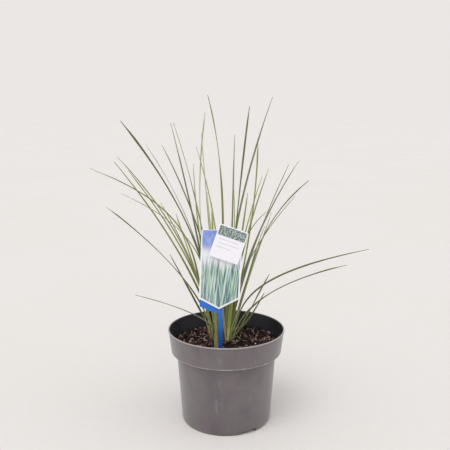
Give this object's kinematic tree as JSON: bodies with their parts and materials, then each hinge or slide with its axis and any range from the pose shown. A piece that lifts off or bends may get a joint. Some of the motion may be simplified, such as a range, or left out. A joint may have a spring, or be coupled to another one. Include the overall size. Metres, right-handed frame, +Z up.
{
  "type": "potted grass-like plant",
  "caption": "Tuft of long narrow strap leaves growing in a tapered plastic nursery pot, with soil and a staked plant label.",
  "frame": {"origin": "centre of the pot at the floor, which is the centre of the box's bottom face", "axes": "+Z up along the pot's axis, -Y towards the face of the label, +X to the right seen from there"},
  "size_m": [0.5503, 0.4404, 0.6491],
  "materials": {
    "pot": "taupe-grey moulded plastic outside, near-black inside",
    "soil": "dark potting mix with bark chips",
    "crown": "dry fibrous leaf bases",
    "leaf": "grey-green strap leaves with a soft sheen",
    "stake": "blue plastic",
    "card": "glossy printed card with a white border"
  },
  "bodies": {
    "root": {"pot": "pot", "soil": "soil", "crown": "crown", "leaf_01": "leaf", "leaf_02": "leaf", "leaf_03": "leaf", "leaf_04": "leaf", "leaf_05": "leaf", "leaf_06": "leaf", "leaf_07": "leaf", "leaf_08": "leaf", "leaf_09": "leaf", "leaf_10": "leaf", "leaf_11": "leaf", "leaf_12": "leaf", "leaf_13": "leaf", "leaf_14": "leaf", "leaf_15": "leaf", "leaf_16": "leaf", "leaf_17": "leaf", "leaf_18": "leaf", "leaf_19": "leaf", "leaf_20": "leaf", "leaf_21": "leaf", "leaf_22": "leaf", "leaf_23": "leaf", "leaf_24": "leaf", "leaf_25": "leaf", "leaf_26": "leaf", "leaf_27": "leaf", "leaf_28": "leaf", "leaf_29": "leaf", "leaf_30": "leaf", "leaf_31": "leaf", "leaf_32": "leaf", "leaf_33": "leaf", "leaf_34": "leaf", "leaf_35": "leaf", "leaf_36": "leaf", "leaf_37": "leaf", "leaf_38": "leaf", "leaf_39": "leaf", "leaf_40": "leaf", "leaf_41": "leaf", "leaf_42": "leaf", "leaf_43": "leaf", "leaf_44": "leaf", "leaf_45": "leaf", "leaf_46": "leaf", "leaf_47": "leaf", "leaf_48": "leaf", "leaf_49": "leaf", "leaf_50": "leaf", "label_stake": "stake", "label_card": "card", "price_card": "card"}
  },
  "joints": []
}
